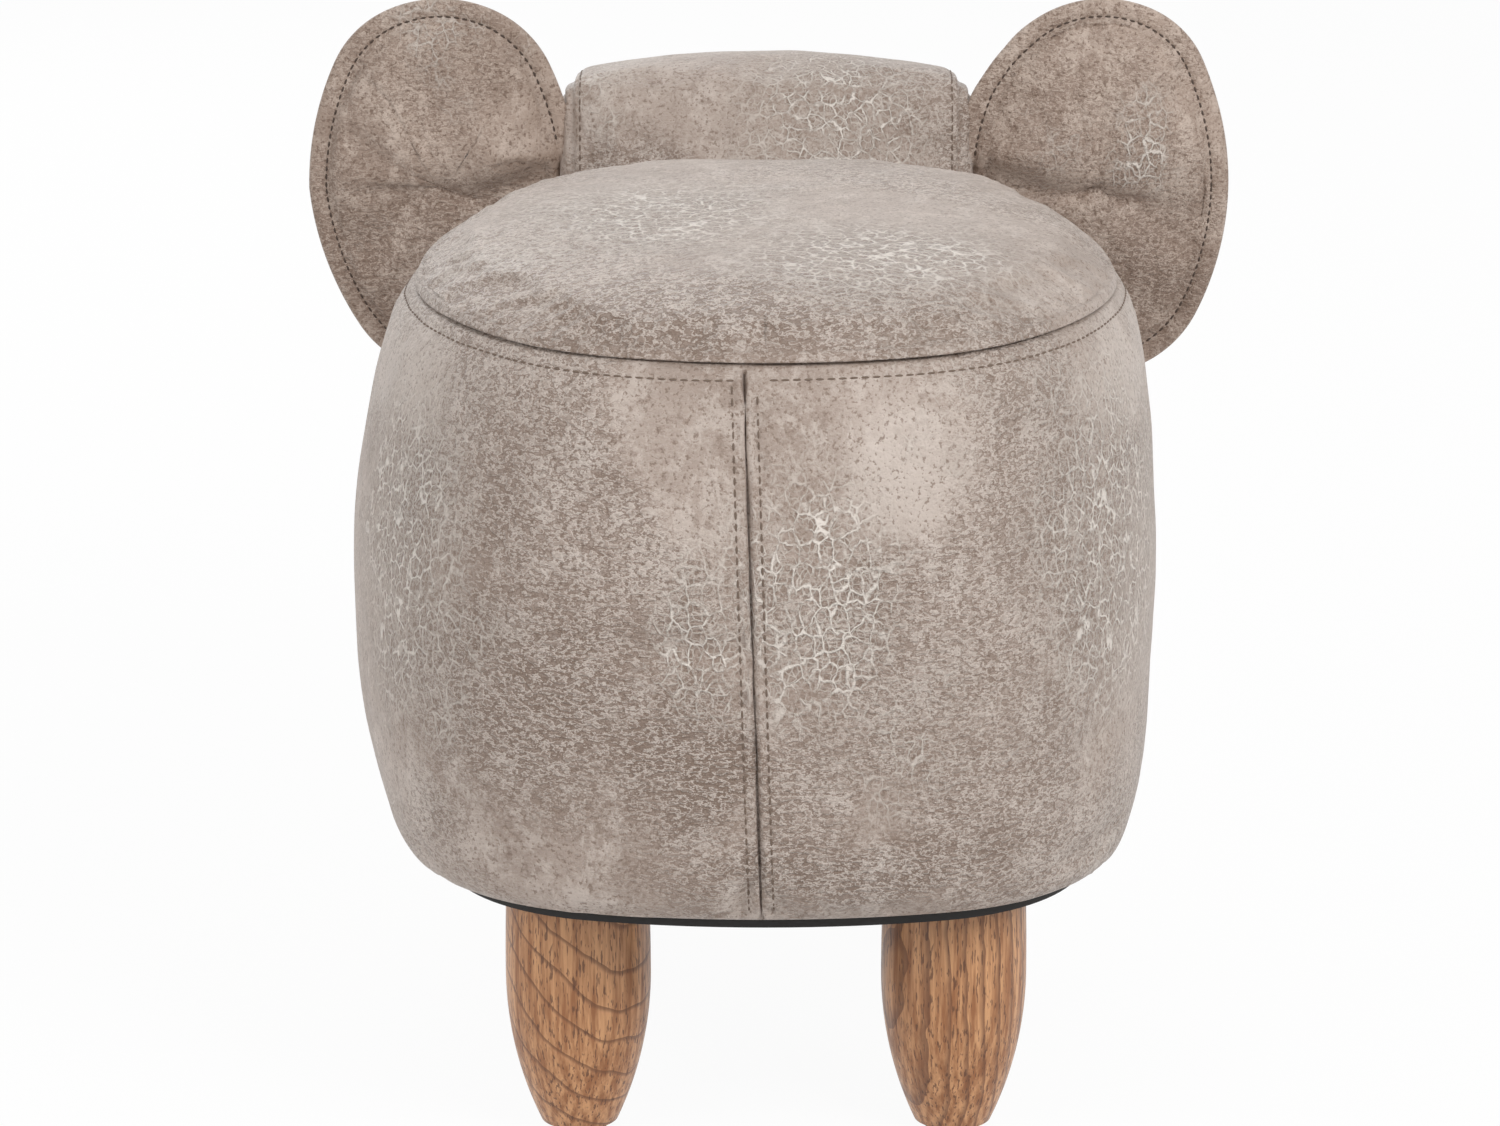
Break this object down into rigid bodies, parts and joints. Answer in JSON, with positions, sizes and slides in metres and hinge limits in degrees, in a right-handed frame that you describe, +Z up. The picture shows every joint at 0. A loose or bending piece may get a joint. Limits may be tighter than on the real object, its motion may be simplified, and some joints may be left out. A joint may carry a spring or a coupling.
{
  "type": "elephant storage pouf",
  "caption": "Padded stool in the shape of an elephant, with a leather cover, turned wooden legs and a hinged seat over a storage box.",
  "frame": {"origin": "on the floor, midway between the rump and the front of the trunk and midway between the ears", "axes": "+Z up, +Y from the rump towards the head, +X to the right when seen from the rump"},
  "size_m": [0.398, 0.5656, 0.393],
  "materials": {
    "leather": "satin, distressed",
    "ear_leather": "satin, distressed",
    "leg_wood": "turned, light brown, satin",
    "plywood": "bare plywood",
    "softwood": "bare softwood",
    "black_board": "black, matt",
    "black_cloth": "non-woven, black",
    "lining": "plain weave",
    "foam": "open-cell foam",
    "fibre": "fibre stuffing",
    "black_plastic": "moulded",
    "eye_plastic": "polished",
    "steel": "zinc plated"
  },
  "bodies": {
    "body": {"body_cover_left": "leather", "body_cover_right": "leather", "head_cover_centre": "leather", "head_cover_left": "leather", "head_cover_right": "leather", "trunk_cover": "leather", "ear_left_cover": "ear_leather", "ear_right_cover": "ear_leather", "leg_rear_left": "leg_wood", "leg_rear_right": "leg_wood", "leg_front_left": "leg_wood", "leg_front_right": "leg_wood", "box_wall_left": "plywood", "box_wall_right": "plywood", "box_wall_rear": "plywood", "box_wall_front": "plywood", "head_board": "plywood", "neck_block": "softwood", "neck_beam": "softwood", "base_board": "black_board", "dust_cover": "black_cloth", "box_lining": "lining", "pad_left": "foam", "pad_right": "foam", "pad_rear": "foam", "pad_front": "foam", "head_padding": "fibre", "trunk_filling": "fibre", "ear_left_filling": "fibre", "ear_right_filling": "fibre", "foot_glides": "black_plastic", "eye_washers": "black_plastic", "eye_left": "eye_plastic", "eye_right": "eye_plastic", "leg_bolts": "steel", "leg_tee_nuts": "steel", "box_screws": "steel", "neck_screws": "steel", "head_screws": "steel", "hinge_plate_screws": "steel", "hinge_plate_left": "steel", "hinge_plate_right": "steel", "hinge_pin_left": "steel", "hinge_pin_right": "steel"},
    "lid": {"lid_board": "plywood", "lid_foam": "foam", "lid_cover": "leather", "lid_lining": "lining", "hinge_leaf_left": "steel", "hinge_leaf_right": "steel", "hinge_leaf_screws": "steel"}
  },
  "joints": [
    {"name": "lid_hinge", "type": "hinge", "parent": "body", "child": "lid", "pos_m": [0, 0.0598, 0.32215], "axis": [-1, 0, 0], "range_deg": [0, 115]}
  ]
}
